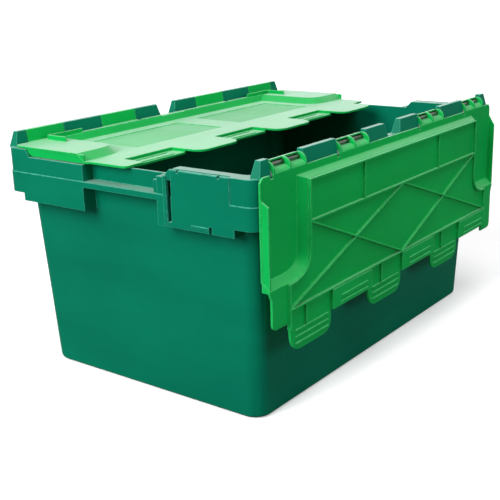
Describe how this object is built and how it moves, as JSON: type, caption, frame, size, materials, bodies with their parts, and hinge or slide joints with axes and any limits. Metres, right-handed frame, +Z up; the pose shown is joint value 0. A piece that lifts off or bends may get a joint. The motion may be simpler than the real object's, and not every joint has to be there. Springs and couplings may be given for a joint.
{
  "type": "attached lid tote",
  "caption": "Nestable rectangular plastic tote with a hollow collar rim, hand grips and interlocking hinged lid leaves, one closed and the other hanging open.",
  "frame": {"origin": "middle of the flat underside", "axes": "+X along the hinge lines, +Y towards the rear lid leaf, which is closed, and +Z up out of the tote"},
  "size_m": [0.6016, 0.4178, 0.3152],
  "materials": {
    "body_plastic": "moulded dark green polypropylene with a fine matt grain",
    "lid_plastic": "moulded lighter green polypropylene, slightly smoother than the body",
    "hinge_steel": "dull drawn steel wire with a film of oil"
  },
  "bodies": {
    "tote": {"tote_body": "body_plastic", "rear_hinge_wire_near": "hinge_steel", "rear_hinge_wire_far": "hinge_steel", "front_hinge_wire_near": "hinge_steel", "front_hinge_wire_far": "hinge_steel"},
    "front_leaf": {"front_lid": "lid_plastic"},
    "rear_leaf": {"rear_lid": "lid_plastic"}
  },
  "joints": [
    {"name": "front_lid_hinge", "type": "hinge", "parent": "tote", "child": "front_leaf", "pos_m": [0, -0.1932, 0.3072], "axis": [-1, 0, 0], "range_deg": [0, 270]},
    {"name": "rear_lid_hinge", "type": "hinge", "parent": "tote", "child": "rear_leaf", "pos_m": [0, 0.1932, 0.3072], "axis": [-1, 0, 0], "range_deg": [0, 270]}
  ]
}
